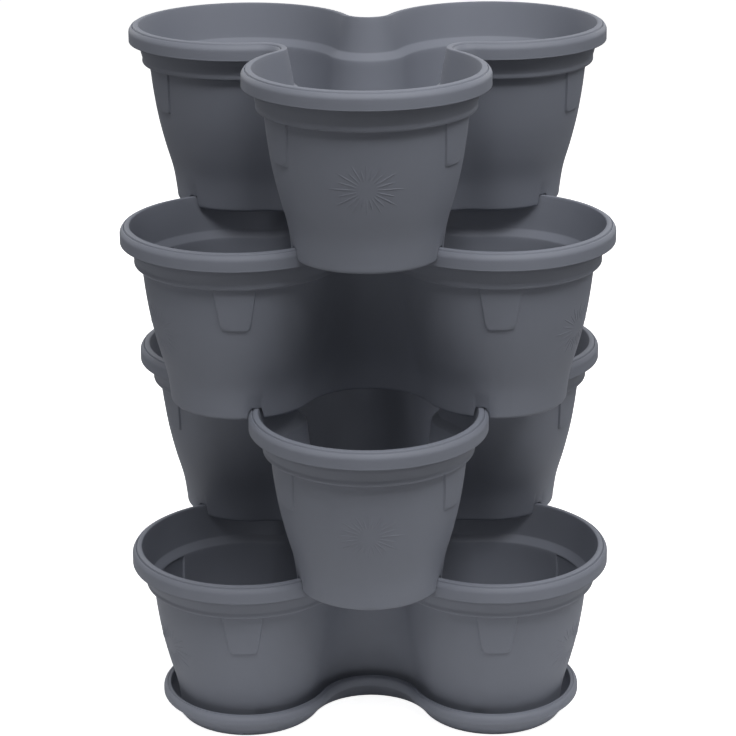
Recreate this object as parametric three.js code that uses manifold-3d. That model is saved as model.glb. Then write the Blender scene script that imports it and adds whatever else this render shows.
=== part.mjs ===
// Vertical planter tower: four identical three-lobed planters, each turned sixty degrees on the one
// below it, standing in a drip saucer of the same outline.
// Millimetres, +Z up. The origin is on the tower's axis, at the underside of the saucer.

import * as THREE from "three";
import { mergeVertices } from "three/addons/utils/BufferGeometryUtils.js";
import Module from "manifold-3d";

const wasm = await Module();
wasm.setup();

// Plan of the outline: three lobes round the tower's axis, joined by hollow waists
const LOBES = 3;
const LOBE_OFFSET = 109.7; // tower's axis to the centre of a lobe
const LOBE_RADIUS = 88; // centre of a lobe to the outer face of its lip
const WAIST_REACH = 77.3; // tower's axis to the outer face of the lip at a waist
const LOBE_STEPS = 12; // straight pieces in the arc of one lobe
const WAIST_STEPS = 5; // and in the arc of one waist

// Walls and heights of a planter
const TIERS = 4;
const TIER_HEIGHT = 136.3; // foot of the skirt to the crest of the lip
const WALL = 2.2;
const FLOOR = 2.4;
const SEAT_GAP = 0.3; // between a floor and what it stands on

// Lip: a rounded rim, turned down and hollow beneath
const LIP_HEIGHT = 13.2;
const CREST_BREADTH = 3.4; // flat on top of the lip
const SHOULDER_BREADTH = 3.6; // quarter ellipse from the crest out to the lip's face
const SHOULDER_DROP = 8.9;
const SHOULDER_STEPS = 3;
const LIP_ROOF = 2.6; // thickness of the crest over the hollow beneath the lip

// Collar under the lip, and the step from it in to the body
const COLLAR_HEIGHT = 14.9;
const COLLAR_TOP_INSET = 7; // every inset is measured in from the outer face of the lip
const COLLAR_FOOT_INSET = 9.6;
const STEP_INSET = 15; // body of the planter, just under the step
const STEP_DROP = 1.2;

// Body: it draws in towards its foot in a long S
const BODY_FOOT_INSET = 34;
const FOOT_EDGE = 2.5; // bevel at the foot of the skirt
const TAPER_SHARES = [[0.25, 0.16], [0.5, 0.41], [0.75, 0.77]]; // of the drop, of the inset
const CAVITY_TAPER_SHARES = [[0.4, 0.29], [0.8, 0.84]]; // the same, on the inside

// Skirt: it hangs below the floor and straddles the lip of the planter beneath
const SKIRT_DEPTH = 8.6; // foot of the skirt to the underside of the floor
const NOTCH_PLAY = 1; // round the lip that passes through a notch, at its face
const NOTCH_INNER_PLAY = 2; // and on its inner side

// Raised panels, two to a lobe, under the step
const PANEL_TURN = Math.PI / 3; // to each side of the lobe's own direction
const PANEL_TOP_WIDTH = 32;
const PANEL_FOOT_WIDTH = 21.5;
const PANEL_HEIGHT = 32;
const PANEL_RELIEF = 1.5;

// Drain holes in the floor
const DRAIN_RADIUS = 4;
const DRAIN_REACH = 46; // tower's axis to the ring of holes, over the planter beneath
const DRAINS = 6; // in the ring, with one more at the axis
const DRAIN_STEPS = 8;

// Drip saucer: the planters' outline, drawn in all round
const SAUCER_INSET = 20.3; // planter's lip to the saucer's lip
const SAUCER_HEIGHT = 21.9;
const SAUCER_FLOOR = 2;
const SAUCER_WALL = 2;
const SAUCER_CREST_BREADTH = 2.8;
const SAUCER_SHOULDER_BREADTH = 3;
const SAUCER_SHOULDER_DROP = 4;
const SAUCER_LIP_HEIGHT = 7;
const SAUCER_WALL_INSET = 2.4; // saucer's lip to the top of its wall
const SAUCER_FOOT_INSET = 13.1; // saucer's lip to the edge of its base
const SAUCER_FOOT_EDGE = 1.3;

const OVERRUN = 5; // how far a cut runs past the face that it opens

const PLASTIC = { colour: [0.345, 0.361, 0.392], roughness: 0.55, metalness: 0 }; // slate grey

const FIRST_LOBE = Math.PI / 2; // direction of the bottom planter's first lobe
const TIER_TURN = Math.PI / LOBES; // each planter against the one beneath it
const TIER_PITCH = TIER_HEIGHT - SKIRT_DEPTH + SEAT_GAP;
const TIER_NAMES = ["bottom_planter", "lower_planter", "upper_planter", "top_planter"];

// The waist's arc touches both lobes' arcs, so its centre and radius follow from the plan
const lobeBeyondWaist = LOBE_RADIUS - WAIST_REACH;
const waistOffset =
  (LOBE_OFFSET ** 2 - lobeBeyondWaist ** 2) / (LOBE_OFFSET + 2 * lobeBeyondWaist);
const waistRadius = waistOffset - WAIST_REACH;
const waistCentre = new THREE.Vector2(waistOffset, 0).rotateAround(new THREE.Vector2(), TIER_TURN);
const lobeCentre = new THREE.Vector2(LOBE_OFFSET, 0);
const arcsMeet = waistCentre.clone().sub(lobeCentre).angle(); // seen from the lobe's centre

// Points of the outline drawn in by `inset`, anticlockwise. Lobe arcs shrink and waist arcs grow.
function outline(inset) {
  const points = [];
  for (let lobe = 0; lobe < LOBES; lobe += 1) {
    const turn = (2 * Math.PI * lobe) / LOBES;
    for (let i = 0; i <= LOBE_STEPS; i += 1) {
      const angle = THREE.MathUtils.lerp(-arcsMeet, arcsMeet, i / LOBE_STEPS);
      points.push(onArc(lobeCentre, LOBE_RADIUS - inset, angle, turn));
    }
    const start = arcsMeet - Math.PI;
    const end = 2 * (TIER_TURN - Math.PI) - start;
    for (let i = 1; i < WAIST_STEPS; i += 1) {
      const angle = THREE.MathUtils.lerp(start, end, i / WAIST_STEPS);
      points.push(onArc(waistCentre, waistRadius + inset, angle, turn));
    }
  }
  return points;
}

// A point on an arc about `centre`, turned about the tower's axis
function onArc(centre, radius, angle, turn) {
  const point = new THREE.Vector2(radius, 0).rotateAround(new THREE.Vector2(), angle).add(centre);
  return point.rotateAround(new THREE.Vector2(), turn);
}

// Closed solid through a stack of outlines, each station an [inset, height], from the lowest up
function loft(stations) {
  const rings = stations.map(([inset]) => outline(inset));
  const count = rings[0].length;
  const vertices = rings.flatMap((ring, i) => ring.flatMap((p) => [p.x, p.y, stations[i][1]]));
  const triangles = [];
  for (let level = 0; level + 1 < rings.length; level += 1) {
    for (let i = 0; i < count; i += 1) {
      const a = level * count + i;
      const b = level * count + ((i + 1) % count);
      triangles.push(a, b, b + count, a, b + count, a + count);
    }
  }
  const top = (rings.length - 1) * count;
  for (const [a, b, c] of THREE.ShapeUtils.triangulateShape(rings[0], [])) {
    triangles.push(c, b, a);
  }
  for (const [a, b, c] of THREE.ShapeUtils.triangulateShape(rings.at(-1), [])) {
    triangles.push(top + a, top + b, top + c);
  }
  return solidOf(vertices, triangles);
}

function solidOf(vertices, triangles) {
  return new wasm.Manifold(
    new wasm.Mesh({
      numProp: 3,
      vertProperties: new Float32Array(vertices),
      triVerts: new Uint32Array(triangles),
    }),
  );
}

// Solid of a three.js geometry, with its shared vertices merged
function solidOfGeometry(geometry) {
  geometry.deleteAttribute("normal");
  geometry.deleteAttribute("uv");
  const merged = mergeVertices(geometry.index ? geometry.toNonIndexed() : geometry);
  return solidOf(merged.attributes.position.array, merged.index.array);
}

function geometryOf(solid) {
  const mesh = solid.getMesh();
  const geometry = new THREE.BufferGeometry();
  geometry.setAttribute("position", new THREE.BufferAttribute(mesh.vertProperties, 3));
  geometry.setIndex(new THREE.BufferAttribute(mesh.triVerts, 1));
  geometry.computeVertexNormals();
  return geometry;
}

// Quarter ellipse of a lip's shoulder, from the lip's face up to its crest, grown by `play`
function shoulder(inset, breadth, drop, crest, play) {
  const stations = [];
  for (let i = 0; i <= SHOULDER_STEPS; i += 1) {
    const angle = (Math.PI / 2) * (i / SHOULDER_STEPS);
    stations.push([
      inset + breadth - (breadth + play) * Math.cos(angle),
      crest - drop + (drop + play) * Math.sin(angle),
    ]);
  }
  return stations;
}

// Heights of a planter, from the foot of its skirt
const lipFoot = TIER_HEIGHT - LIP_HEIGHT;
const collarFoot = lipFoot - COLLAR_HEIGHT;
const bodyTop = collarFoot - STEP_DROP;
const floorTop = SKIRT_DEPTH + FLOOR;
const crestInset = SHOULDER_BREADTH + CREST_BREADTH;

// Stations of the body's S, from just above `low` to just below the step, drawn in by `wall`
function taper(shares, low, wall) {
  const depth = bodyTop - low;
  const draw = BODY_FOOT_INSET - STEP_INSET;
  const stations = shares.map(([down, inward]) => [
    STEP_INSET + draw * inward + wall,
    bodyTop - depth * down,
  ]);
  return stations.reverse();
}

// Outside of a planter, filled, from the foot of its skirt to its crest
function planterOutside() {
  return loft([
    [BODY_FOOT_INSET + FOOT_EDGE, 0],
    [BODY_FOOT_INSET, FOOT_EDGE],
    ...taper(TAPER_SHARES, FOOT_EDGE, 0),
    [STEP_INSET, bodyTop],
    [COLLAR_FOOT_INSET, collarFoot],
    [COLLAR_TOP_INSET, lipFoot],
    [0, lipFoot],
    ...shoulder(0, SHOULDER_BREADTH, SHOULDER_DROP, TIER_HEIGHT, 0),
  ]);
}

// Hollow of a planter, from the top of its floor out past the crest
function planterCavity() {
  return loft([
    [BODY_FOOT_INSET + WALL, floorTop],
    ...taper(CAVITY_TAPER_SHARES, FOOT_EDGE, WALL),
    [STEP_INSET + WALL, bodyTop + WALL / 2],
    [COLLAR_FOOT_INSET + WALL, collarFoot + WALL],
    [crestInset, TIER_HEIGHT],
    [crestInset, TIER_HEIGHT + OVERRUN],
  ]);
}

// Hollow beneath the turned-down lip, open at the bottom
function lipHollow() {
  const roof = TIER_HEIGHT - LIP_ROOF;
  const outer = loft([
    [WALL, lipFoot - OVERRUN],
    [WALL, lipFoot],
    [SHOULDER_BREADTH, roof],
  ]);
  const collar = loft([
    [COLLAR_TOP_INSET, lipFoot - 2 * OVERRUN],
    [COLLAR_TOP_INSET, lipFoot],
    [crestInset - WALL, roof + OVERRUN],
  ]);
  return outer.subtract(collar);
}

// The planter beneath, as the skirt meets it: its lip with play all round, up to the floor
function lipPassage() {
  const crest = SKIRT_DEPTH - SEAT_GAP;
  const arch = shoulder(0, SHOULDER_BREADTH, SHOULDER_DROP, crest, NOTCH_PLAY).filter(
    ([, height]) => height < SKIRT_DEPTH && height > -OVERRUN,
  );
  const outer = loft([
    [-NOTCH_PLAY, -2 * OVERRUN],
    ...arch,
    [archInset(), SKIRT_DEPTH],
  ]);
  const inner = loft([
    [COLLAR_FOOT_INSET + WALL + NOTCH_INNER_PLAY, crest - (TIER_HEIGHT - collarFoot - WALL)],
    [crestInset + NOTCH_INNER_PLAY, crest],
    [crestInset + NOTCH_INNER_PLAY, SKIRT_DEPTH + OVERRUN],
  ]);
  return outer.subtract(inner).rotate([0, 0, THREE.MathUtils.radToDeg(TIER_TURN)]);
}

// Inset of the grown shoulder at the height where the floor cuts it off
function archInset() {
  const rise = (SHOULDER_DROP + SEAT_GAP) / (SHOULDER_DROP + NOTCH_PLAY);
  const across = Math.sqrt(Math.max(1 - rise ** 2, 0));
  return SHOULDER_BREADTH - (SHOULDER_BREADTH + NOTCH_PLAY) * across;
}

// Window of one panel, as a bar along the panel's own direction, drawn in by `margin` all round
function panelWindow(margin) {
  const top = bodyTop + STEP_DROP;
  const foot = bodyTop - PANEL_HEIGHT + margin;
  const shape = new THREE.Shape([
    new THREE.Vector2(margin - PANEL_FOOT_WIDTH / 2, foot),
    new THREE.Vector2(PANEL_FOOT_WIDTH / 2 - margin, foot),
    new THREE.Vector2(PANEL_TOP_WIDTH / 2 - margin, top),
    new THREE.Vector2(margin - PANEL_TOP_WIDTH / 2, top),
  ]);
  const bar = new THREE.ExtrudeGeometry(shape, { depth: LOBE_RADIUS, bevelEnabled: false });
  bar.rotateX(Math.PI / 2).rotateZ(Math.PI / 2);
  return solidOfGeometry(bar);
}

// The six windows of a planter, two to a lobe, each run out from the lobe's centre
function panelWindows(margin) {
  const degrees = THREE.MathUtils.radToDeg;
  const windows = [];
  for (let lobe = 0; lobe < LOBES; lobe += 1) {
    for (const side of [-1, 1]) {
      windows.push(
        panelWindow(margin)
          .rotate([0, 0, degrees(side * PANEL_TURN)])
          .translate([LOBE_OFFSET, 0, 0])
          .rotate([0, 0, degrees((2 * Math.PI * lobe) / LOBES)]),
      );
    }
  }
  return windows.reduce((all, one) => all.add(one));
}

// The wall's surface from the panels' foot up to the step, filled, stood out by the panels' relief
function raisedWall(wall) {
  return loft([
    [BODY_FOOT_INSET + wall - PANEL_RELIEF, FOOT_EDGE],
    ...taper(TAPER_SHARES, FOOT_EDGE, wall - PANEL_RELIEF),
    [STEP_INSET + wall - PANEL_RELIEF, bodyTop],
    [STEP_INSET + wall - PANEL_RELIEF, bodyTop + STEP_DROP],
  ]);
}

// Drain holes through the floor: a ring of them and one at the tower's axis
function drains() {
  const hole = new THREE.CylinderGeometry(
    DRAIN_RADIUS, DRAIN_RADIUS, FLOOR + 2 * OVERRUN, DRAIN_STEPS,
  );
  hole.rotateX(Math.PI / 2).translate(0, 0, SKIRT_DEPTH + FLOOR / 2);
  const drill = solidOfGeometry(hole);
  let holes = drill;
  for (let i = 0; i < DRAINS; i += 1) {
    const turn = (360 * (i + 1 / 2)) / DRAINS;
    holes = holes.add(drill.translate([DRAIN_REACH, 0, 0]).rotate([0, 0, turn]));
  }
  return holes;
}

// One planter, on the foot of its skirt, with its first lobe along +X
function planter() {
  const underFloor = loft([
    [BODY_FOOT_INSET + FOOT_EDGE + WALL, -OVERRUN],
    [BODY_FOOT_INSET + FOOT_EDGE + WALL, SKIRT_DEPTH],
  ]).add(lipPassage());
  return planterOutside()
    .add(raisedWall(0).intersect(panelWindows(0)))
    .subtract(planterCavity())
    .subtract(raisedWall(WALL).intersect(panelWindows(WALL)))
    .subtract(lipHollow())
    .subtract(underFloor)
    .subtract(drains());
}

// The saucer, on the underside of its base, with its first lobe along +X
function saucer() {
  const wallTop = SAUCER_HEIGHT - SAUCER_LIP_HEIGHT;
  const lipBreadth = SAUCER_SHOULDER_BREADTH + SAUCER_CREST_BREADTH;
  const slope = (SAUCER_FOOT_INSET - SAUCER_WALL_INSET) / wallTop;
  const across = SAUCER_WALL * Math.hypot(1, slope); // the wall measured level, not square to it
  const outside = loft([
    [SAUCER_INSET + SAUCER_FOOT_INSET, 0],
    [SAUCER_INSET + SAUCER_FOOT_INSET - slope * SAUCER_FOOT_EDGE, SAUCER_FOOT_EDGE],
    [SAUCER_INSET + SAUCER_WALL_INSET, wallTop],
    [SAUCER_INSET, wallTop],
    ...shoulder(SAUCER_INSET, SAUCER_SHOULDER_BREADTH, SAUCER_SHOULDER_DROP, SAUCER_HEIGHT, 0),
  ]);
  const tray = loft([
    [SAUCER_INSET + SAUCER_FOOT_INSET + across - slope * SAUCER_FLOOR, SAUCER_FLOOR],
    [SAUCER_INSET + SAUCER_WALL_INSET + across, wallTop],
    [SAUCER_INSET + lipBreadth, SAUCER_HEIGHT],
    [SAUCER_INSET + lipBreadth, SAUCER_HEIGHT + OVERRUN],
  ]);
  return outside.subtract(tray);
}

// The tower, from the saucer up
const tower = new THREE.Group();

function place(name, geometry, height, turn) {
  const plastic = new THREE.MeshStandardMaterial({
    color: new THREE.Color().setRGB(...PLASTIC.colour, THREE.SRGBColorSpace),
    roughness: PLASTIC.roughness,
    metalness: PLASTIC.metalness,
  });
  const mesh = new THREE.Mesh(geometry, plastic);
  mesh.name = name;
  mesh.position.z = height;
  mesh.rotation.z = turn;
  tower.add(mesh);
}

place("drip_saucer", geometryOf(saucer()), 0, FIRST_LOBE);
const planterGeometry = geometryOf(planter());
for (let tier = 0; tier < TIERS; tier += 1) {
  const height = SAUCER_FLOOR + SEAT_GAP + tier * TIER_PITCH;
  place(TIER_NAMES[tier], planterGeometry, height, FIRST_LOBE + tier * TIER_TURN);
}

export default tower;
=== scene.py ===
"""Looks of a stacking planter tower: four three-lobed planters on a three-lobed drip saucer.

Every piece is one moulded shell. Its section is drawn once, as corners with radii given by their
inset from the lip's outer face and their height, and carried round the trefoil outline. Panels,
recesses and the notches in the skirt are changes of inset or height on that same grid, so each
wall stays one closed surface. A sunburst's rays are spindles that lie half sunk in the wall.
Lengths are in metres, written as millimetres times MM.
"""

import logging
import math
from dataclasses import dataclass, field
from enum import Enum

import bpy
import numpy as np
from mathutils import Euler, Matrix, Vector
from mathutils.geometry import delaunay_2d_cdt


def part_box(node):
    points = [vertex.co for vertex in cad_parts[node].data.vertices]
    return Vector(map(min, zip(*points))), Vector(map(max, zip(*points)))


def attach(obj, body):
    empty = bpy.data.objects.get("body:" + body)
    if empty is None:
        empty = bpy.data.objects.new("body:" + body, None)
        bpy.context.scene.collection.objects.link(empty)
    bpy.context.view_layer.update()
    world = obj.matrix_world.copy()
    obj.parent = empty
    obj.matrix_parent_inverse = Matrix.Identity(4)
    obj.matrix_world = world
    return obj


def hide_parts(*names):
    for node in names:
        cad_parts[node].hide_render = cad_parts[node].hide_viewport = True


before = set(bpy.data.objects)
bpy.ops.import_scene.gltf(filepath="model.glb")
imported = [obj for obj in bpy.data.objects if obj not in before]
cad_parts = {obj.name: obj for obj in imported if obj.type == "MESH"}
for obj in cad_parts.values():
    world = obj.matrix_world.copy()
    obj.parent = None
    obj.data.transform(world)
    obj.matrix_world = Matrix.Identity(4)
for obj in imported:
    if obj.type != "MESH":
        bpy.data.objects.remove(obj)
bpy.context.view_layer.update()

log = logging.getLogger("planter_tower")

Corner = tuple[float, float, float]  # inset, height and radius

MM = 0.001
LOBES = 3
LOBE_TURNS = tuple(2 * math.pi * lobe / LOBES for lobe in range(LOBES))
LEAST_TURN = 1e-4  # a corner that turns less is not rounded
LEAST_GAP = 1e-8  # places of a plate that lie closer are one
SHARP_ANGLE = math.radians(38)  # edges that bend more stay sharp
PATTERN_SHIFT = 0.37  # from one piece's surface pattern to the next
WHITE = (1.0, 1.0, 1.0, 1.0)


class Facing(Enum):
    """Where a piece's first lobe points, as an angle from +X."""

    BACK = math.pi / 2
    FRONT = -math.pi / 2


def smooth(share: np.ndarray) -> np.ndarray:
    """Eases 0 to 1: three t squared less two t cubed, with t held between 0 and 1."""
    t = np.clip(share, 0.0, 1.0)
    return t * t * (3.0 - 2.0 * t)


def circle(count: int) -> np.ndarray:
    """Evenly spaced angles, from zero once round."""
    return 2 * math.pi * np.arange(count) / count


def turned(places: np.ndarray, angle: float) -> np.ndarray:
    """Turns places about the tower's axis.

    Args:
        places: x, y and z in a last axis of three.
        angle: How far they turn, anticlockwise from above.

    Returns:
        The places in the same shape.
    """
    c, s = math.cos(angle), math.sin(angle)
    x, y, z = places[..., 0], places[..., 1], places[..., 2]
    return np.stack([x * c - y * s, x * s + y * c, z], axis=-1)


def in_scene(name: str, data: bpy.types.ID) -> bpy.types.Object:
    """Makes an object that shows the data, and links it to the scene.

    Args:
        name: Name of the object.
        data: Its mesh, light or camera.

    Returns:
        The object.
    """
    made = bpy.data.objects.new(name, data)
    bpy.context.scene.collection.objects.link(made)
    return made


def feed(node: bpy.types.Node, inputs: dict[str | int, object]) -> None:
    """Sets a node's inputs.

    Args:
        node: The node.
        inputs: By name or number, a socket that is linked or else the input's own value.
    """
    for key, value in inputs.items():
        if isinstance(value, bpy.types.NodeSocket):
            node.id_data.links.new(value, node.inputs[key])
        else:
            node.inputs[key].default_value = value


@dataclass(frozen=True)
class Trefoil:
    """Plan of the outline: three lobe arcs round the axis, joined by hollow waist arcs.

    A place on the outline is its turning angle from the middle of a lobe. Up to `meet` it runs
    along the lobe's arc, and past it back along the waist's arc, to `reach` at its middle.
    """

    lobe_offset: float = 109.7 * MM
    lobe_radius: float = 88.0 * MM
    waist_reach: float = 77.3 * MM

    @property
    def waist_offset(self) -> float:
        """Axis to a waist arc's centre, from the two arcs being tangent."""
        beyond = self.lobe_radius - self.waist_reach
        return (self.lobe_offset**2 - beyond**2) / (self.lobe_offset + 2 * beyond)

    @property
    def waist_radius(self) -> float:
        """Radius of a waist arc at the lip's outer face."""
        return self.waist_offset - self.waist_reach

    @property
    def waist_centre(self) -> np.ndarray:
        """Centre of the waist arc that follows the lobe along +X."""
        turn = math.pi / LOBES
        return self.waist_offset * np.array([math.cos(turn), math.sin(turn)])

    @property
    def meet(self) -> float:
        """Turning angle at which the lobe's arc passes into the waist's arc."""
        across, up = self.waist_centre - np.array([self.lobe_offset, 0.0])
        return math.atan2(up, across)

    @property
    def reach(self) -> float:
        """Turning angle at the middle of the waist."""
        return 2 * self.meet - math.pi / LOBES

    def at(self, turning: np.ndarray, inset: np.ndarray) -> np.ndarray:
        """Places on the outline of the lobe along +X.

        On the lobe: its centre plus (radius less inset) at the turning angle. On the waist: its
        centre plus (radius plus inset) at an angle that runs back as far as the turning went past
        `meet`. Negative turnings are the mirror image.

        Args:
            turning: Turning angles.
            inset: Distances in from the outline.

        Returns:
            x and y in a last axis of two.
        """
        angle = np.abs(turning)
        lobe_x = self.lobe_offset + (self.lobe_radius - inset) * np.cos(angle)
        lobe_y = (self.lobe_radius - inset) * np.sin(angle)
        back = 2 * self.meet - math.pi - angle
        waist_x = self.waist_centre[0] + (self.waist_radius + inset) * np.cos(back)
        waist_y = self.waist_centre[1] + (self.waist_radius + inset) * np.sin(back)
        on_lobe = angle <= self.meet
        x = np.where(on_lobe, lobe_x, waist_x)
        y = np.where(on_lobe, lobe_y, waist_y) * np.where(turning < 0, -1.0, 1.0)
        return np.stack([x, y], axis=-1)

    def over(self, turning: np.ndarray, inset: np.ndarray, height: np.ndarray) -> np.ndarray:
        """Places on the outline as `at` gives them, raised to these heights.

        Args:
            turning: Turning angles.
            inset: Distances in from the outline.
            height: Heights.

        Returns:
            x, y and z in a last axis of three.
        """
        flat = self.at(turning, inset)
        z = np.broadcast_to(height, flat.shape[:-1])
        return np.concatenate([flat, z[..., None]], axis=-1)

    def beneath(self, places: np.ndarray) -> np.ndarray:
        """How far places lie inside the next outline down, which is turned by half a lobe's share.

        The nearest arc decides: its radius less the distance to its centre on a lobe, and the
        distance less the radius on a waist. An arc counts only within its own sweep.

        Args:
            places: x and y in a last axis of two.

        Returns:
            Insets, negative outside the outline.
        """
        found = np.full(places.shape[:-1], np.inf)
        for turn in LOBE_TURNS:
            lobe_way = math.pi / LOBES + turn
            waist_way = lobe_way + math.pi / LOBES
            for way, offset, radius, sign, sweep in (
                (lobe_way, self.lobe_offset, self.lobe_radius, 1.0, self.meet),
                (waist_way, self.waist_offset, self.waist_radius, -1.0, self.reach - self.meet),
            ):
                away = places - offset * np.array([math.cos(way), math.sin(way)])
                facing = way if sign > 0 else way + math.pi
                angle = np.arctan2(away[..., 1], away[..., 0]) - facing
                angle = np.abs((angle + math.pi) % (2 * math.pi) - math.pi)
                depth = sign * (radius - np.hypot(away[..., 0], away[..., 1]))
                nearer = (angle <= sweep) & (np.abs(depth) < np.abs(found))
                found = np.where(nearer, depth, found)
        return found


def rounded(corners: list[Corner], steps: int) -> np.ndarray:
    """Section line through corners, each cut off by an arc tangent to both of its sides.

    An arc of radius r starts r times the tangent of half the turn before the corner. Its points
    lie on the circle about the centre, r away from the sides on their inner side.

    Args:
        corners: Inset, height and radius of each corner; a radius of zero keeps the corner.
        steps: Straight pieces in one arc.

    Returns:
        Inset and height of every station.
    """
    points = np.array([c[:2] for c in corners])
    line = [points[:1]]
    for i in range(1, len(corners) - 1):
        radius = corners[i][2]
        into = points[i] - points[i - 1]
        out = points[i + 1] - points[i]
        into /= np.hypot(*into)
        out /= np.hypot(*out)
        turn = math.atan2(into[0] * out[1] - into[1] * out[0], float(into @ out))
        if radius == 0 or abs(turn) < LEAST_TURN:
            line.append(points[i : i + 1])
            continue
        start = points[i] - into * radius * math.tan(abs(turn) / 2)
        side = math.copysign(1.0, turn)
        centre = start + radius * side * np.array([-into[1], into[0]])
        first = math.atan2(*(start - centre)[::-1])
        angles = first + turn * np.linspace(0, 1, steps + 1)
        line.append(centre + radius * np.stack([np.cos(angles), np.sin(angles)], axis=-1))
    line.append(points[-1:])
    return np.concatenate(line)


def divided(line: np.ndarray, longest: float) -> np.ndarray:
    """Cuts every piece of a line that is too long into equal shorter ones.

    Args:
        line: Places along the line.
        longest: Greatest length of a piece.

    Returns:
        Places along the same line.
    """
    parts = []
    for start, end in zip(line[:-1], line[1:]):
        count = max(1, math.ceil(np.hypot(*(end - start)) / longest))
        parts.append(start + (end - start) * np.arange(count)[:, None] / count)
    parts.append(line[-1:])
    return np.concatenate(parts)


@dataclass
class Shell:
    """Vertices and faces of one piece, gathered part by part."""

    vertices: list[np.ndarray] = field(default_factory=list)
    quads: list[np.ndarray] = field(default_factory=list)
    triangles: list[np.ndarray] = field(default_factory=list)
    count: int = 0

    def add_vertices(self, places: np.ndarray) -> np.ndarray:
        """Adds vertices at these places.

        Args:
            places: x, y and z in a last axis of three.

        Returns:
            Their numbers, in the shape of the places without that axis.
        """
        flat = places.reshape(-1, 3)
        self.vertices.append(flat)
        numbers = np.arange(self.count, self.count + len(flat)).reshape(places.shape[:-1])
        self.count += len(flat)
        return numbers

    def add_grid(self, numbers: np.ndarray) -> None:
        """Adds the faces of a grid that closes on itself along its second axis.

        Args:
            numbers: Vertex numbers of the grid.
        """
        beside = np.roll(numbers, -1, axis=1)
        quads = np.stack([numbers[:-1], beside[:-1], beside[1:], numbers[1:]], axis=-1)
        self.quads.append(quads.reshape(-1, 4))

    def add_wall(self, lobe: np.ndarray) -> np.ndarray:
        """Adds a closed wall: one lobe's places, turned to every lobe in order.

        Args:
            lobe: Places of one lobe, stations by columns.

        Returns:
            Vertex numbers of the whole wall, stations by columns.
        """
        lobes = [turned(lobe, turn) for turn in LOBE_TURNS]
        wall = self.add_vertices(np.concatenate(lobes, axis=1))
        self.add_grid(wall)
        return wall

    def add_spindles(self, rays: np.ndarray) -> None:
        """Adds closed spindles: rings joined by quads, and a fan to a point at each end.

        Args:
            rays: Places, spindles by rings by sides.
        """
        numbers = self.add_vertices(rays)
        tips = self.add_vertices(rays[:, [0, -1]].mean(axis=2))
        for ray, (first, last) in zip(numbers, tips):
            self.add_grid(ray[:, ::-1])
            beside = np.roll(ray, -1, axis=1)
            for tip, a, b in ((first, ray[0], beside[0]), (last, beside[-1], ray[-1])):
                self.triangles.append(np.stack([a, b, np.full(len(a), tip)], axis=-1))

    def add_plate(self, rings: list[np.ndarray], flip: bool) -> None:
        """Flat face inside the first ring and outside the others, which are round.

        A Delaunay triangulation keeps the rings' edges. A triangle is dropped where its middle
        lies nearer to the centre of a round ring than the middle of that ring's first edge does.

        Args:
            rings: Vertex numbers of every ring, in order along it.
            flip: True for a face that looks down.
        """
        numbers = np.concatenate(rings)
        places = np.concatenate(self.vertices)[numbers, :2]
        ends = np.cumsum([len(ring) for ring in rings])
        ranges = np.split(np.arange(ends[-1]), ends[:-1])
        edges = np.concatenate([np.stack([r, np.roll(r, -1)], axis=-1) for r in ranges])
        done = delaunay_2d_cdt(places.tolist(), edges.tolist(), [], 1, LEAST_GAP)
        found = np.array([start[0] for start in done[3]])[np.array(done[2])]
        middles = places[found].mean(axis=1)
        for hole in ranges[1:]:
            centre = places[hole].mean(axis=0)
            rim = np.hypot(*(places[hole[:2]].mean(axis=0) - centre))
            outside = np.hypot(*(middles - centre).T) > rim
            found, middles = found[outside], middles[outside]
        a, b, c = (places[found[:, i]] for i in range(3))
        across, up = b - a, c - a
        facing = across[:, 0] * up[:, 1] - across[:, 1] * up[:, 0] > 0
        wrong = facing if flip else ~facing
        found[wrong] = found[wrong][:, ::-1]
        self.triangles.append(numbers[found])

    def piece(self, name: str, foot: float, facing: Facing) -> bpy.types.Object:
        """Makes the mesh object, smooth with its sharp edges kept.

        Args:
            name: Name of the piece.
            foot: Height at which its lowest face lies.
            facing: Where its first lobe points.

        Returns:
            The object, at the origin, linked to the scene.
        """
        vertices = turned(np.concatenate(self.vertices), facing.value) + np.array([0, 0, foot])
        quads = np.concatenate(self.quads)
        triangles = np.concatenate(self.triangles)
        corners = np.concatenate([quads.ravel(), triangles.ravel()])
        sizes = np.repeat([4, 3], [len(quads), len(triangles)])
        starts = np.cumsum(sizes) - sizes
        mesh = bpy.data.meshes.new(name)
        mesh.vertices.add(len(vertices))
        mesh.vertices.foreach_set("co", vertices.astype(np.float32).ravel())
        mesh.loops.add(len(corners))
        mesh.loops.foreach_set("vertex_index", corners.astype(np.int32))
        mesh.polygons.add(len(sizes))
        mesh.polygons.foreach_set("loop_start", starts.astype(np.int32))
        mesh.update(calc_edges=True)
        mesh.validate()
        mesh.shade_smooth()
        mesh.set_sharp_from_angle(angle=SHARP_ANGLE)
        return in_scene(name, mesh)


@dataclass(frozen=True)
class Stations:
    """A section: inset, height, whether inside the cavity, and height where a lift fades out."""

    inset: np.ndarray
    height: np.ndarray
    inside: np.ndarray
    fade: np.ndarray


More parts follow.
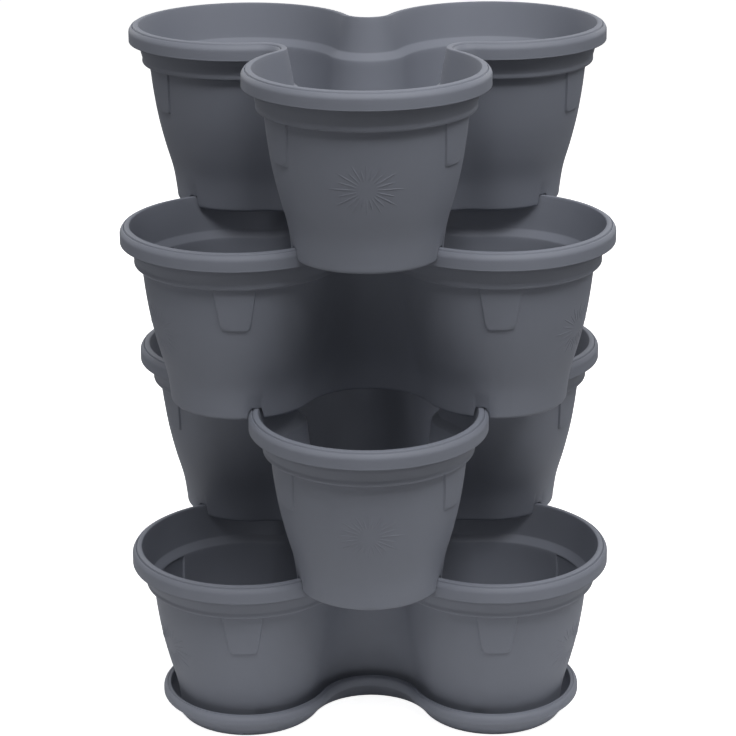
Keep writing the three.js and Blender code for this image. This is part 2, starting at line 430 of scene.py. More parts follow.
@dataclass(frozen=True)
class Panel:
    """A raised trapezoid under the step, hollow behind, `turn` to each side of a lobe's middle."""

    turn: float = math.pi / 3
    top_width: float = 32.0 * MM
    foot_width: float = 21.5 * MM
    height: float = 32.8 * MM
    relief: float = 1.5 * MM
    corner: float = 3.0 * MM
    edge: float = 1.0 * MM
    edge_margin: float = 0.2 * MM
    edge_rows: int = 8
    back_margin: float = 1.6 * MM

    def half_width(self, above_foot: np.ndarray) -> np.ndarray:
        """Half of the width at a height above the panel's foot, held at the foot's below it."""
        share = np.clip(above_foot / self.height, 0.0, 1.0)
        return (self.foot_width + (self.top_width - self.foot_width) * share) / 2

    def rise(
        self, across: np.ndarray, above_foot: np.ndarray, under_top: np.ndarray, margin: np.ndarray
    ) -> np.ndarray:
        """Height of the relief at places on the wall.

        The distance in from the nearest side, from the foot or from the top, or to the rounded
        corner's circle where a side and the foot are both near, is eased over the edge's breadth.

        Args:
            across: Distance from the panel's middle line.
            above_foot: Height above the panel's foot.
            under_top: Height that is left to the panel's top.
            margin: How far the outline is drawn in, as on the back of the wall.

        Returns:
            How far the wall stands out there.
        """
        side = self.half_width(above_foot) - np.abs(across) - margin
        foot = above_foot - margin
        near = np.hypot(np.maximum(self.corner - side, 0), np.maximum(self.corner - foot, 0))
        inside = np.where(near > 0, self.corner - near, np.minimum(side, foot))
        return self.relief * smooth(np.minimum(inside, under_top) / self.edge)


@dataclass(frozen=True)
class Notch:
    """An arch in the skirt, where it straddles the lip of the planter beneath.

    Its edges lie between two turning angles, the bounds, and are found by halving. Where the
    arch is more than `crisp_height` high, the `crisp` share of the foot's rounding is taken off.
    """

    shoulder_breadth: float = 3.2 * MM
    shoulder_drop: float = 7.0 * MM
    face_play: float = 1.2 * MM
    top_play: float = 0.8 * MM
    inner_play: float = 2.2 * MM
    inner_corner: float = 1.2 * MM
    inner_lean: float = 1.6 * MM
    floor_gap: float = 0.1 * MM
    fade_height: float = 20.0 * MM
    crisp: float = 0.85
    crisp_height: float = 2.0 * MM
    bounds: tuple[float, float] = (math.radians(55), math.radians(95))
    halvings: int = 30


@dataclass(frozen=True)
class Burst:
    """Plain sunburst in low relief: even rays, long and short by turns, round a bare middle."""

    rays: int = 24
    height: float = 64.0 * MM
    half_width: float = 27.0 * MM
    half_height: float = 19.0 * MM
    bare_share: float = 0.35
    short_share: float = 0.8
    tip_share: float = 0.002
    ray_breadth: float = 0.65 * MM
    relief: float = 0.28 * MM
    steps: int = 12
    sides: int = 8


@dataclass(frozen=True)
class Drains:
    """Round holes through a floor: one ring and one at the axis."""

    radius: float = 3.8 * MM
    reach: float = 44.0 * MM
    count: int = 6
    sides: int = 28
    chamfer: float = 0.2 * MM

    def add_to(
        self, shell: Shell, low: float, high: float
    ) -> tuple[list[np.ndarray], list[np.ndarray]]:
        """Adds the holes' walls: short tubes through the floor with both mouths chamfered.

        Args:
            shell: Shell that takes the faces.
            low: Height of the floor's underside.
            high: Height of its top.

        Returns:
            Vertex numbers of the upper mouths and of the lower mouths, ring by ring.
        """
        way = circle(self.sides)
        radius = (self.radius + np.array([self.chamfer, 0, 0, self.chamfer]))[:, None]
        heights = np.array([high, high - self.chamfer, low + self.chamfer, low])
        z = np.repeat(heights[:, None], self.sides, axis=1)
        ring = 2 * math.pi * (np.arange(self.count) + 0.5) / self.count
        centres = [(0.0, 0.0), *zip(self.reach * np.cos(ring), self.reach * np.sin(ring))]
        tubes = []
        for x, y in centres:
            places = np.stack([x + radius * np.cos(way), y + radius * np.sin(way), z], axis=-1)
            tubes.append(shell.add_vertices(places))
            shell.add_grid(tubes[-1])
        return [tube[0] for tube in tubes], [tube[-1] for tube in tubes]


@dataclass(frozen=True)
class Planter:
    """One planter, drawn from the foot of its skirt, with its first lobe along +X."""

    outline: Trefoil = Trefoil()
    panel: Panel = Panel()
    notch: Notch = Notch()
    burst: Burst = Burst()
    drains: Drains = Drains()
    height: float = 136.3 * MM
    wall: float = 2.2 * MM
    floor: float = 2.4 * MM
    # Skirt, and the foot of the body
    skirt_depth: float = 8.6 * MM
    skirt_inner_inset: float = 38.5 * MM
    seat_gap: float = 0.3 * MM
    foot_inset: float = 34.0 * MM
    foot_radius: float = 2.6 * MM
    foot_inner_radius: float = 0.7 * MM
    # Step over the body, then the bead, the cove and the collar
    step_inset: float = 15.3 * MM
    step_height: float = 106.4 * MM
    step_radius: float = 1.8 * MM
    bead_inset: float = 9.8 * MM
    bead_rise: float = 0.6 * MM
    bead_height: float = 2.4 * MM
    bead_radius: float = 1.6 * MM
    cove_depth: float = 0.25 * MM
    cove_height: float = 1.6 * MM
    cove_radius: float = 5.0 * MM
    collar_bend: float = 7.0 * MM
    collar_bend_radius: float = 6.0 * MM
    collar_inset: float = 8.2 * MM
    collar_wall: float = 1.4 * MM
    # Lip, with its bevel, groove, land and crown
    lip_height: float = 12.9 * MM
    lip_roof: float = 2.8 * MM
    lip_flare: float = 0.12 * MM
    lip_flare_height: float = 1.2 * MM
    lip_edge_radius: float = 0.5 * MM
    bevel_breadth: float = 2.4 * MM
    bevel_drop: float = 4.2 * MM
    bevel_radius: float = 4.5 * MM
    groove_breadth: float = 1.2 * MM
    groove_depth: float = 1.2 * MM
    land_drop: float = 0.8 * MM
    crown: float = 0.4 * MM
    # Crest, and the ledge and the floor's edge inside
    crest_inset: float = 7.3 * MM
    crest_radius: float = 0.9 * MM
    ledge_inset: float = 12.2 * MM
    ledge_drop: float = 5.0 * MM
    ledge_radius: float = 2.2 * MM
    floor_radius: float = 3.0 * MM
    flat_ring: float = 0.3 * MM
    # Steps and spacings of the mesh
    arc_steps: int = 4
    spacing: float = 4.0 * MM
    skirt_spacing: float = 3.0 * MM
    columns: tuple[int, ...] = (12, 5, 3, 12, 5, 13, 10)
    # Taper of the body: pairs of a share of its drop and a share of its draw
    taper_shares: tuple[tuple[float, float], ...] = (
        (0, 0), (0.2, 0.119), (0.4, 0.292), (0.6, 0.544), (0.8, 0.844), (1, 1)
    )

    @property
    def lip_foot(self) -> float:
        """Height of the lip's lower edge."""
        return self.height - self.lip_height

    @property
    def lip_beneath(self) -> float:
        """Height of the top of the lip that the skirt straddles."""
        return self.skirt_depth - self.seat_gap

    @property
    def floor_top(self) -> float:
        """Height of the floor's upper face."""
        return self.skirt_depth + self.floor

    @property
    def panel_foot(self) -> float:
        """Height of a panel's lower edge."""
        return self.step_height - self.panel.height

    @property
    def ledge_foot(self) -> float:
        """Height at which the ledge inside passes into the wall beneath it."""
        return self.step_height + self.bead_rise + self.wall - self.ledge_drop

    def body_inset(self, height: np.ndarray) -> np.ndarray:
        """Inset of the body's outer face: a smooth S from the step down to the foot.

        Cubic Hermite pieces join the shares of the drop and of the draw, with each slope at a
        share the mean of its neighbours' slopes.

        Args:
            height: Heights above the skirt's foot.

        Returns:
            The inset at each height.
        """
        down, inward = np.array(self.taper_shares).T
        slopes = np.gradient(inward, down)
        share = np.clip((self.step_height - height) / (self.step_height - self.foot_radius), 0, 1)
        piece = np.clip(np.searchsorted(down, share, side="right") - 1, 0, len(down) - 2)
        span = down[piece + 1] - down[piece]
        t = (share - down[piece]) / span
        drawn = (
            (1 + 2 * t) * (1 - t) ** 2 * inward[piece]
            + t * (1 - t) ** 2 * span * slopes[piece]
            + t**2 * (3 - 2 * t) * inward[piece + 1]
            + t**2 * (t - 1) * span * slopes[piece + 1]
        )
        return self.step_inset + (self.foot_inset - self.step_inset) * drawn

    def body_heights(self, low: float, high: float, margin: float) -> np.ndarray:
        """Heights up the body, closer together across the panels' foot than elsewhere.

        Args:
            low: The lowest height.
            high: The highest height.
            margin: How far a panel's outline is drawn in, as on the back of the wall.

        Returns:
            The heights, from low to high.
        """
        edge = self.panel_foot + margin
        spare = self.panel.edge_margin
        near = np.linspace(edge - spare, edge + self.panel.edge + spare, self.panel.edge_rows)
        below = np.linspace(low, near[0], max(2, round((near[0] - low) / self.spacing)))
        above = np.linspace(near[-1], high, max(2, round((high - near[-1]) / self.spacing)))
        return np.concatenate([below[:-1], near, above[1:]])

    def stations(self) -> Stations:
        """Section of the wall, from the floor's underside out round the lip to the floor's top.

        Returns:
            The stations, in that order.
        """
        body = self.body_heights(2 * self.foot_radius, self.step_height - 2 * self.step_radius, 0)
        start = self.skirt_inner_inset + self.foot_inner_radius + self.flat_ring
        under = [
            (start, self.skirt_depth, 0),
            (self.skirt_inner_inset, self.skirt_depth, self.foot_inner_radius),
            (self.skirt_inner_inset, 0, self.foot_inner_radius),
            (self.foot_inset, 0, 0),
        ]
        outer = [
            (self.skirt_inner_inset - self.wall / 2, 0, 0),
            (self.foot_inset, 0, self.foot_radius),
            *[(float(self.body_inset(z)), z, 0) for z in body],
            *self.collar_corners(),
            *self.hollow_corners(),
        ]
        skirt = divided(rounded(under, self.arc_steps), self.skirt_spacing)[:-1]
        outside = divided(rounded(outer, self.arc_steps + 1), self.spacing)
        lip = divided(rounded(self.lip_corners(), self.arc_steps), self.spacing)
        cavity = divided(rounded(self.cavity_corners(), self.arc_steps + 1), self.spacing)
        line = np.concatenate([skirt, outside[1:], lip[1:], cavity[1:]])
        inside = np.arange(len(line)) > len(line) - len(cavity)
        fade = np.full(len(line), self.notch.fade_height)
        fade[: len(skirt)] = self.skirt_depth
        return Stations(line[:, 0], line[:, 1], inside, fade)

    def collar_corners(self) -> list[Corner]:
        """Step at the top of the body, the bead over it, a faint cove and the collar's bend.

        Returns:
            The corners, from the step up.
        """
        foot = self.step_height + self.bead_rise
        cove = foot + self.bead_height + self.cove_height
        return [
            (self.step_inset, self.step_height, self.step_radius),
            (self.bead_inset, foot, self.bead_radius),
            (self.bead_inset, foot + self.bead_height, self.bead_radius),
            (self.bead_inset + self.cove_depth, cove, self.cove_radius),
            (self.collar_inset, cove + self.collar_bend, self.collar_bend_radius),
        ]

    def hollow_corners(self) -> list[Corner]:
        """Hollow under the lip: up the collar, across under the crest and down the lip's back.

        Returns:
            The corners, from the collar out to the lip's foot.
        """
        roof = self.height - self.lip_roof
        return [
            (self.crest_inset - self.collar_wall, roof, self.foot_inner_radius),
            (self.bevel_breadth + self.wall / 2, roof, self.foot_inner_radius),
            (self.wall, self.height - self.bevel_drop - self.wall / 3, self.bevel_radius / 3),
            (self.wall - self.lip_flare, self.lip_foot, self.lip_edge_radius / 2),
            (self.lip_flare, self.lip_foot, 0),
        ]

    def lip_corners(self) -> list[Corner]:
        """Lip: its edge, its face, the bevel over it, a fine groove and the crowned crest.

        Returns:
            The corners, from the lip's foot up and in to the crest.
        """
        inner = self.bevel_breadth + self.groove_breadth
        land = self.height - self.land_drop
        return [
            (self.lip_flare, self.lip_foot, 0),
            (-self.lip_flare, self.lip_foot, self.lip_edge_radius),
            (0, self.lip_foot + self.lip_flare_height, self.lip_edge_radius),
            (0, self.height - self.bevel_drop, self.bevel_radius),
            (self.bevel_breadth, land, self.groove_depth / 2),
            (inner - self.groove_breadth / 2, land - self.groove_depth, 0),
            (inner, self.height - self.crown, self.groove_depth / 2),
            ((inner + self.crest_inset) / 2, self.height, self.bevel_radius),
            (self.crest_inset - self.crest_radius, self.height, 0),
        ]

    def cavity_corners(self) -> list[Corner]:
        """Inside of the wall: down the collar, over the ledge and down the body to the floor.

        Returns:
            The corners, from the crest down to the floor's top.
        """
        body = self.body_heights(
            self.floor_top + 2 * self.floor_radius,
            self.step_height - 2 * self.ledge_radius,
            self.panel.back_margin,
        )[::-1]
        floor_edge = self.foot_inset + self.wall
        return [
            (self.crest_inset - self.crest_radius, self.height, 0),
            (self.crest_inset, self.height, self.crest_radius),
            (self.ledge_inset, self.ledge_foot + self.ledge_drop, self.ledge_radius),
            (self.step_inset + self.wall, self.ledge_foot, self.ledge_radius),
            *[(float(self.body_inset(z)) + self.wall, z, 0) for z in body],
            (floor_edge, self.floor_top, self.floor_radius),
            (floor_edge + self.flat_ring + self.floor_radius, self.floor_top, 0),
        ]

    def crossing(self, inset: np.ndarray, depth: float) -> np.ndarray:
        """Turning angle at which a line of this inset reaches a depth inside the outline beneath.

        The depth grows steadily between the two bounds, so halving the bracket closes in on it.

        Args:
            inset: Inset of each line.
            depth: How deep inside the outline beneath.

        Returns:
            The turning angle on each line.
        """
        low, high = (np.full(inset.shape, bound) for bound in self.notch.bounds)
        for _ in range(self.notch.halvings):
            middle = (low + high) / 2
            short = self.outline.beneath(self.outline.at(middle, inset)) < depth
            low = np.where(short, middle, low)
            high = np.where(short, high, middle)
        return (low + high) / 2

    def turnings(self, stations: Stations) -> np.ndarray:
        """Turning angle of every column at every station, over one whole lobe.

        Between fixed knots the columns are evenly spaced. Low down the knots follow the notch's
        edges and higher up the sides of a panel, and they ease from one to the other between.

        Args:
            stations: The section's stations.

        Returns:
            Rows of stations by columns of turning angles, from one waist to the next.
        """
        notch, panel = self.notch, self.panel
        skirt = np.clip(stations.inset, self.foot_inset, self.skirt_inner_inset)
        edge = self.crest_inset + notch.inner_play
        depths = (-notch.face_play, edge - notch.inner_corner, edge + notch.inner_lean)
        low_knots = [self.crossing(skirt, depth) for depth in depths]

        radius = self.outline.lobe_radius - stations.inset
        drawn_in = np.where(stations.inside, panel.back_margin, 0)
        half = panel.half_width(stations.height - self.panel_foot) - drawn_in
        outer = np.arcsin(np.clip((half + panel.edge_margin) / radius, 0, 1))
        inner = np.arcsin(np.clip((half - panel.edge - panel.edge_margin) / radius, 0, 1))
        rows = np.ones(len(stations.inset))
        high_knots = [panel.turn * rows, panel.turn + inner, panel.turn + outer]

        share = smooth((stations.height - notch.fade_height) / (2 * notch.fade_height))
        knots = [
            0 * rows,
            panel.turn - outer,
            panel.turn - inner,
            *[low + (high - low) * share for low, high in zip(low_knots, high_knots)],
            self.outline.meet * rows,
            self.outline.reach * rows,
        ]
        half_lobe = [
            start[:, None] + (end - start)[:, None] * np.arange(count) / count
            for start, end, count in zip(knots[:-1], knots[1:], self.columns)
        ]
        one_side = np.concatenate([*half_lobe, knots[-1][:, None]], axis=1)
        return np.concatenate([-one_side[:, :0:-1], one_side[:, :-1]], axis=1)

    def arch(self, depth: np.ndarray, cap: np.ndarray) -> np.ndarray:
        """Height of the skirt's foot over the lip beneath.

        From the lip's face it follows the shoulder's quarter ellipse, grown by the play, then runs
        level over the crest, turns down in a small quarter circle and leans out to the foot.

        Args:
            depth: How deep inside the outline beneath the place lies.
            cap: Height of the level part.

        Returns:
            Height of the foot, zero away from the notch.
        """
        notch = self.notch
        reach = notch.shoulder_breadth + notch.face_play
        across = np.clip((notch.shoulder_breadth - depth) / reach, 0, 1)
        drop = notch.shoulder_drop
        rise = self.lip_beneath - drop + (drop + notch.top_play) * np.sqrt(1 - across**2)
        edge = self.crest_inset + notch.inner_play
        into = np.clip((depth - edge + notch.inner_corner) / notch.inner_corner, 0, 1)
        level = np.minimum(rise, cap) - notch.inner_corner * (1 - np.sqrt(1 - into**2))
        lifted = level * (1 - np.clip((depth - edge) / notch.inner_lean, 0, 1))
        outside = (depth <= -notch.face_play) | (depth >= edge + notch.inner_lean)
        return np.where(outside, 0, np.maximum(lifted, 0))

    def lobe_grid(self) -> np.ndarray:
        """Places of one lobe's wall, with its panels, recesses and notches.

        A panel's rise is taken off the wall's inset, and close under the step off the step's own
        inset, so that its top runs into the step. A notch lifts the skirt's foot by the arch's
        height, and what lies above by less and less, up to the height where the lift fades out.

        Returns:
            Places, stations by columns.
        """
        stations = self.stations()
        turning = self.turnings(stations)
        inset, height = (
            np.repeat(row[:, None], turning.shape[1], axis=1)
            for row in (stations.inset, stations.height)
        )
        inside = stations.inside[:, None]

        margin = np.where(inside, self.panel.back_margin, 0)
        away = np.clip(np.abs(turning) - self.panel.turn, -math.pi / 2, math.pi / 2)
        across = (self.outline.lobe_radius - inset) * np.sin(away)
        top = self.ledge_foot - height - self.ledge_radius / 2
        under_top = np.where(inside, top, self.height)
        rise = self.panel.rise(across, height - self.panel_foot, under_top, margin)
        face = self.step_inset + np.where(inside, self.wall, 0)
        beside = height > self.step_height - self.wall
        raised = np.where(beside & ~inside, np.minimum(inset, face - rise), inset - rise)
        inset = np.where(inset > face - self.panel.relief, raised, inset)

        places = self.outline.at(turning, np.maximum(inset, self.foot_inset))
        breadth = self.skirt_inner_inset - self.foot_inset
        inwards = np.clip((inset - self.foot_inset) / breadth, 0, 1)
        outer_cap = self.lip_beneath + self.notch.top_play
        inner_cap = self.skirt_depth - self.notch.floor_gap
        cap = outer_cap + (inner_cap - outer_cap) * inwards
        foot = self.arch(self.outline.beneath(places), cap)
        share = np.where(inside, 0, np.clip(1 - height / stations.fade[:, None], 0, 1))
        in_notch = smooth(foot / self.notch.crisp_height) * self.notch.crisp
        rounding = (inset > self.foot_inset) & (inset < self.foot_inset + self.foot_radius)
        rounding &= (height < 2 * self.foot_radius) & ~inside
        inset = np.where(rounding, inset + (self.foot_inset - inset) * in_notch, inset)
        return self.outline.over(turning, inset, height + foot * share)

    def burst_grids(self) -> np.ndarray:
        """Rays of one lobe's sunburst, each a slender spindle lying half sunk in the wall.

        Along a ray the breadth and height follow the square root of a half sine, so both ends
        come to a point. A point of a ray lies at the ray's place on the wall, unrolled as arc
        length and height, and as far out from the wall as its own height.

        Returns:
            Rays by rings by sides by three coordinates, without the two end points of each ray.
        """
        burst = self.burst
        way = circle(burst.rays)
        length = np.where(np.arange(burst.rays) % 2 == 0, 1.0, burst.short_share)
        reach = length / np.hypot(np.cos(way) / burst.half_width, np.sin(way) / burst.half_height)
        along = np.linspace(0, 1, burst.steps + 1)
        start = burst.bare_share * burst.half_height
        out = start + (reach[:, None] - start) * along
        held = np.clip(along, burst.tip_share, 1 - burst.tip_share)
        swell = np.sqrt(np.sin(math.pi * held))[:, None]
        round_way = circle(burst.sides)
        aside = burst.ray_breadth * swell * np.cos(round_way)
        proud = burst.relief * swell * np.sin(round_way)
        cos, sin = np.cos(way)[:, None, None], np.sin(way)[:, None, None]
        arc = out[..., None] * cos - aside * sin
        height = burst.height + (out[..., None] * sin + aside * cos)
        inset = self.body_inset(height)
        turning = arc / (self.outline.lobe_radius - inset)
        return self.outline.over(turning, inset - proud, height)

    def shell(self) -> Shell:
        """The whole planter: its wall, the floor with its drains, and the sunbursts.

        Returns:
            The shell, with the skirt's foot at height zero.
        """
        shell = Shell()
        wall = shell.add_wall(self.lobe_grid())
        upper, lower = self.drains.add_to(shell, self.skirt_depth, self.floor_top)
        shell.add_plate([wall[0], *lower], flip=True)
        shell.add_plate([wall[-1], *upper], flip=False)
        rays = self.burst_grids()
        for turn in LOBE_TURNS:
            shell.add_spindles(turned(rays, turn))
        return shell


@dataclass(frozen=True)
class Saucer:
    """Drip saucer: the planters' outline drawn in, with a low sloping wall and a turned lip."""

    outline: Trefoil = Trefoil()
    inset: float = 20.3 * MM
    height: float = 21.9 * MM
    floor: float = 2.0 * MM
    wall: float = 2.2 * MM
    # Lip, with its shoulder, groove and bead
    lip_height: float = 7.0 * MM
    lip_edge_radius: float = 0.5 * MM
    shoulder_breadth: float = 3.0 * MM
    shoulder_drop: float = 4.0 * MM
    shoulder_steps: int = 8
    groove_breadth: float = 0.6 * MM
    groove_depth: float = 0.3 * MM
    crest_inset: float = 5.8 * MM
    bead_radius: float = 0.8 * MM
    wall_inset: float = 2.4 * MM
    inner_inset: float = 5.92 * MM
    # Foot of the wall, and the floor's edge inside
    foot_inset: float = 13.1 * MM
    foot_radius: float = 2.0 * MM
    floor_radius: float = 3.0 * MM
    flat_ring: float = 3.0 * MM
    # Steps and spacings of the mesh
    arc_steps: int = 5
    spacing: float = 3.0 * MM
    lobe_columns: int = 132
    waist_columns: int = 11

    def corners(self) -> list[Corner]:
        """Section from the base's underside out round the lip and in to the floor's top.

        Returns:
            The corners, in that order.
        """
        lip_foot = self.height - self.lip_height
        top = self.height - self.groove_depth / 2
        angles = np.linspace(0, math.pi / 2, self.shoulder_steps + 1)
        inset = self.shoulder_breadth * (1 - np.cos(angles))
        rise = (top - self.height + self.shoulder_drop) * np.sin(angles)
        shoulder = [
            (float(i), float(self.height - self.shoulder_drop + z), 0) for i, z in zip(inset, rise)
        ]
        bead_foot = self.shoulder_breadth + self.groove_breadth
        floor_edge = self.foot_inset + self.wall
        return [
            (self.foot_inset + self.flat_ring + self.foot_radius, 0, 0),
            (self.foot_inset, 0, self.foot_radius),
            (self.wall_inset, lip_foot, self.lip_edge_radius),
            (0, lip_foot, self.lip_edge_radius),
            *shoulder,
            (self.shoulder_breadth + self.groove_breadth / 2, top - self.groove_depth, 0),
            (bead_foot, top - self.groove_depth, 0),
            (bead_foot + self.groove_breadth / 2, self.height, self.groove_breadth / 2),
            (self.crest_inset, self.height, self.bead_radius),
            (self.inner_inset, lip_foot, self.floor_radius),
            (floor_edge, self.floor, self.floor_radius),
            (floor_edge + self.flat_ring + self.floor_radius, self.floor, 0),
        ]

    def shell(self) -> Shell:
        """The whole saucer: its wall and lip, and the floor.

        Returns:
            The shell, with its underside at height zero.
        """
        line = divided(rounded(self.corners(), self.arc_steps), self.spacing)
        meet, reach = self.outline.meet, self.outline.reach
        waist, lobe = self.waist_columns, self.lobe_columns
        knots = ((-reach, -meet, waist), (-meet, meet, lobe), (meet, reach, waist))
        turning = np.concatenate([np.linspace(*knot, endpoint=False) for knot in knots])
        shell = Shell()
        inset, height = line[:, :1] + self.inset, line[:, 1:]
        wall = shell.add_wall(self.outline.over(turning[None], inset, height))
        shell.add_plate([wall[0]], flip=True)
        shell.add_plate([wall[-1]], flip=False)
        return shell


@dataclass(frozen=True)
class Pattern:
    """Noise over a surface, by its scale and detail."""

    scale: float
    detail: float

    def add_to(
        self, tree: bpy.types.NodeTree, vector: bpy.types.NodeSocket
    ) -> bpy.types.NodeSocket:
        """Adds the noise to a material.

        Args:
            tree: Node tree that takes the node.
            vector: Coordinates on the surface.

        Returns:
            The socket that gives its value, from 0 to 1.
        """
        node = tree.nodes.new("ShaderNodeTexNoise")
        feed(node, {"Vector": vector, "Scale": self.scale, "Detail": self.detail})
        return node.outputs["Fac"]


@dataclass(frozen=True)
class SlatePlastic:
    """Moulded slate-grey plastic: a fine grained, softly shining skin with faint uneven colour."""

    colour: tuple[float, float, float] = (0.187, 0.200, 0.239)
    colour_spread: float = 0.10
    roughness: float = 0.62
    roughness_spread: float = 0.06
    specular: float = 0.4
    cloud: Pattern = Pattern(9.0, 3.0)
    sheen: Pattern = Pattern(27.0, 4.0)
    grain: Pattern = Pattern(1500.0, 2.0)
    grain_height: float = 0.05 * MM
    wave: Pattern = Pattern(24.0, 1.0)
    wave_height: float = 0.25 * MM
    bump_strength: float = 0.5

    def material(self, name: str, shift: float) -> bpy.types.Material:
        """Makes the node material.

        Args:
            name: Name of the material.
            shift: How far its patterns are moved, so that no two pieces carry the same marks.

        Returns:
            The material.
        """
        made = bpy.data.materials.new(name)
        made.use_nodes = True
        tree = made.node_tree
        place = tree.nodes.new("ShaderNodeTexCoord").outputs["Object"]
        moved = tree.nodes.new("ShaderNodeMapping")
        feed(moved, {"Vector": place, "Location": (shift, -shift, shift)})
        vector = moved.outputs["Vector"]

        dark, light = (
            tuple(c * (1 + sign * self.colour_spread) for c in self.colour) for sign in (-1, 1)
        )
        tint = tree.nodes.new("ShaderNodeMix")
        tint.data_type = "RGBA"
        cloud = self.cloud.add_to(tree, vector)
        feed(tint, {"Factor": cloud, "A": (*dark, 1), "B": (*light, 1)})

        gloss = tree.nodes.new("ShaderNodeMapRange")
        low, high = (self.roughness + sign * self.roughness_spread for sign in (-1, 1))
        feed(gloss, {"Value": self.sheen.add_to(tree, vector), "To Min": low, "To Max": high})

        beneath = {}
        for pattern, rise in ((self.grain, self.grain_height), (self.wave, self.wave_height)):
            bump = tree.nodes.new("ShaderNodeBump")
            height = pattern.add_to(tree, vector)
            feed(bump, {"Strength": self.bump_strength, "Distance": rise, "Height": height})
            feed(bump, beneath)
            beneath = {"Normal": bump.outputs["Normal"]}

        feed(tree.nodes["Principled BSDF"], {
            "Base Color": tint.outputs["Result"],
            "Roughness": gloss.outputs["Result"],
            "Specular IOR Level": self.specular,
            **beneath,
        })
        return made


@dataclass(frozen=True)
class Lamp:
    """A square soft light that faces the tower."""

    name: str
    place: tuple[float, float, float]
    breadth: float
    power: float
    shadow: bool = True
    aim: tuple[float, float, float] = (0.0, 0.0, 0.26)

    def build(self) -> None:
        """Adds the light to the scene."""
        data = bpy.data.lights.new(self.name, "AREA")
        data.size = self.breadth
        data.energy = self.power
        data.use_shadow = self.shadow
        lamp = in_scene(self.name, data)
        lamp.location = self.place
        towards = Vector(self.aim) - Vector(self.place)
        lamp.rotation_euler = towards.to_track_quat("-Z", "Y").to_euler()


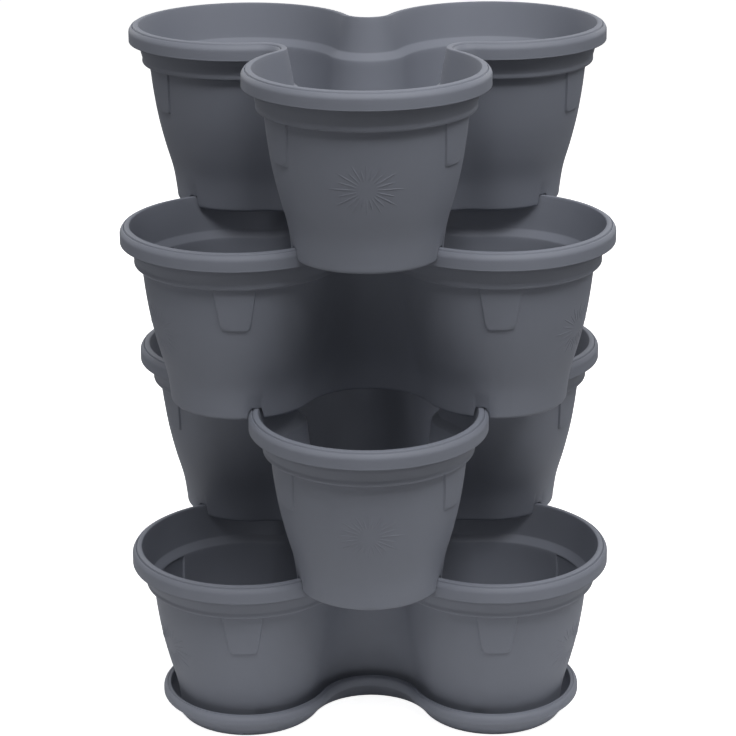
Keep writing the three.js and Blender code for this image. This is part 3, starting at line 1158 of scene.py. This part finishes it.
@dataclass(frozen=True)
class Studio:
    """Pale floor, even white surroundings, soft lights and the camera."""

    # Floor: its paint, and how bright it is to the camera and in gloss
    floor_radius: float = 12.0
    floor_sides: int = 128
    floor_colour: float = 0.93
    floor_roughness: float = 0.9
    far_bounce: float = 0.1
    table_radius: float = 0.4
    floor_glow: float = 0.88
    floor_shine: float = 0.12
    # Surroundings: as a light, to the camera and in gloss
    sky: float = 0.061
    sky_glow: float = 1.0
    sky_shine: float = 0.91
    # Camera: lens and place, and the frame's shift in pixels
    lens: float = 112.11
    sensor: float = 36.0
    distance: float = 1683.9 * MM
    camera_height: float = 851.8 * MM
    pitch: float = 0.31678
    azimuth: float = 0.00571
    roll: float = 0.00614
    aside_px: float = -0.83
    rise_px: float = -48.0
    image_px: float = 736.0
    lamps: tuple[Lamp, ...] = (
        Lamp("high_left_light", (-0.468, -0.81, 2.361), 0.6, 8.0),
        Lamp("left_light", (-0.676, -1.171, 2.121), 0.5, 4.2),
        Lamp("front_light", (0.0, -1.352, 2.121), 0.5, 8.8),
        Lamp("near_right_light", (0.676, -1.171, 2.121), 0.5, 6.0),
        Lamp("low_right_light", (1.13, -1.13, 1.914), 0.5, 5.0),
        Lamp("right_light", (1.142, -0.66, 2.144), 0.6, 11.6),
        Lamp("back_left_light", (-1.205, 1.721, 1.195), 0.8, 8.0),
        Lamp("back_right_light", (1.205, 1.721, 1.195), 0.8, 8.0),
        Lamp("left_fill", (-1.872, -1.081, 1.047), 0.8, 4.9, shadow=False),
        Lamp("right_fill", (1.872, -1.081, 1.047), 0.8, 2.7, shadow=False),
    )

    def build(self) -> None:
        """Adds the floor, the surroundings, the lights and the camera."""
        self.build_floor()
        self.build_sky()
        for lamp in self.lamps:
            lamp.build()
        self.build_camera()

    def build_floor(self) -> None:
        """A wide pale disc under the saucer."""
        way = circle(self.floor_sides)
        ring = self.floor_radius * np.stack([np.cos(way), np.sin(way), 0 * way], axis=-1)
        mesh = bpy.data.meshes.new("studio_floor")
        mesh.from_pydata(ring.tolist(), [], [list(range(self.floor_sides))])
        mesh.materials.append(self.floor_paint())
        in_scene("studio_floor", mesh)

    def floor_paint(self) -> bpy.types.Material:
        """Matt paint: bright to the camera, and to other rays darker away from the saucer.

        Returns:
            The material.
        """
        paint = bpy.data.materials.new("pale_floor")
        paint.use_nodes = True
        nodes = paint.node_tree.nodes
        reach = nodes.new("ShaderNodeVectorMath")
        reach.operation = "LENGTH"
        feed(reach, {0: nodes.new("ShaderNodeTexCoord").outputs["Object"]})
        fall = nodes.new("ShaderNodeMapRange")
        feed(fall, {
            "Value": reach.outputs["Value"],
            "From Min": self.table_radius,
            "From Max": 2 * self.table_radius,
            "To Min": self.floor_colour,
            "To Max": self.far_bounce,
        })
        seen = nodes.new("ShaderNodeLightPath").outputs["Is Camera Ray"]
        tone = nodes.new("ShaderNodeMix")
        tone.data_type = "FLOAT"
        feed(tone, {"Factor": seen, "A": fall.outputs["Result"], "B": self.floor_colour})
        glow = self.by_ray(paint.node_tree, 0.0, self.floor_glow, self.floor_shine)
        feed(nodes["Principled BSDF"], {
            "Base Color": tone.outputs["Result"],
            "Roughness": self.floor_roughness,
            "Specular IOR Level": 0.0,
            "Emission Color": WHITE,
            "Emission Strength": glow,
        })
        return paint

    def build_sky(self) -> None:
        """Even white surroundings: dim as a light, bright to the camera and in reflections."""
        world = bpy.data.worlds.new("studio")
        world.use_nodes = True
        tree = world.node_tree
        strength = self.by_ray(tree, self.sky, self.sky_glow, self.sky_shine)
        feed(tree.nodes["Background"], {"Color": WHITE, "Strength": strength})
        bpy.context.scene.world = world
        bpy.context.scene.view_settings.view_transform = "Standard"

    @staticmethod
    def by_ray(
        tree: bpy.types.NodeTree, plain: float, to_camera: float, in_gloss: float
    ) -> bpy.types.NodeSocket:
        """A value that depends on the kind of ray that asks for it.

        Args:
            tree: Node tree that takes the nodes.
            plain: Value for diffuse rays and for lighting.
            to_camera: Value for the camera's rays.
            in_gloss: Value for reflected rays.

        Returns:
            The socket that gives the value.
        """
        seen = tree.nodes.new("ShaderNodeLightPath")
        value = plain
        for kind, wanted in (("Is Glossy Ray", in_gloss), ("Is Camera Ray", to_camera)):
            add = tree.nodes.new("ShaderNodeMath")
            add.operation = "MULTIPLY_ADD"
            feed(add, {0: seen.outputs[kind], 1: wanted - plain, 2: value})
            value = add.outputs["Value"]
        return value

    def build_camera(self) -> None:
        """The camera, placed by azimuth and distance from the axis, then pitched and rolled."""
        data = bpy.data.cameras.new("camera")
        data.lens = self.lens
        data.sensor_width = self.sensor
        data.shift_x = self.aside_px / self.image_px
        data.shift_y = self.rise_px / self.image_px
        camera = in_scene("camera", data)
        camera.location = (
            self.distance * math.sin(self.azimuth),
            -self.distance * math.cos(self.azimuth),
            self.camera_height,
        )
        look = Euler((math.pi / 2 - self.pitch, 0.0, self.azimuth), "XYZ").to_matrix()
        spin = Euler((0.0, 0.0, -self.roll), "XYZ").to_matrix()
        camera.rotation_euler = (look @ spin).to_euler()
        bpy.context.scene.camera = camera


@dataclass(frozen=True)
class Tower:
    """The whole tower: a saucer, and the planters in the order in which they are stacked."""

    planter: Planter = Planter()
    saucer: Saucer = Saucer()
    finish: SlatePlastic = SlatePlastic()
    tiers: tuple[tuple[str, str, Facing], ...] = (
        ("bottom", "bottom_tier", Facing.BACK),
        ("lower", "lower_tier", Facing.FRONT),
        ("upper", "upper_tier", Facing.BACK),
        ("top", "top_tier", Facing.FRONT),
    )

    def build(self) -> None:
        """Builds every piece and sets it on its body in place of its CAD node."""
        saucer = self.saucer.shell().piece("saucer_shell", 0.0, Facing.BACK)
        self.dress(saucer, "drip_saucer", "saucer")
        planter = self.planter.shell()
        for tier, body, facing in self.tiers:
            node = f"{tier}_planter"
            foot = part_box(node)[0].z
            self.dress(planter.piece(f"{tier}_shell", foot, facing), node, body)

    def dress(self, piece: bpy.types.Object, node: str, body: str) -> None:
        """Gives a piece its finish and its body, and hides the CAD node that it stands for.

        Args:
            piece: The piece.
            node: CAD node that it stands for.
            body: Body that carries it.
        """
        shift = len(bpy.data.materials) * PATTERN_SHIFT
        piece.data.materials.append(self.finish.material(f"{piece.name}_plastic", shift))
        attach(piece, body)
        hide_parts(node)
        log.info("%s: %d faces", piece.name, len(piece.data.polygons))


def main() -> None:
    logging.basicConfig(level=logging.INFO, format="%(name)s: %(message)s")
    Tower().build()
    Studio().build()


if __name__ == "__main__":
    main()
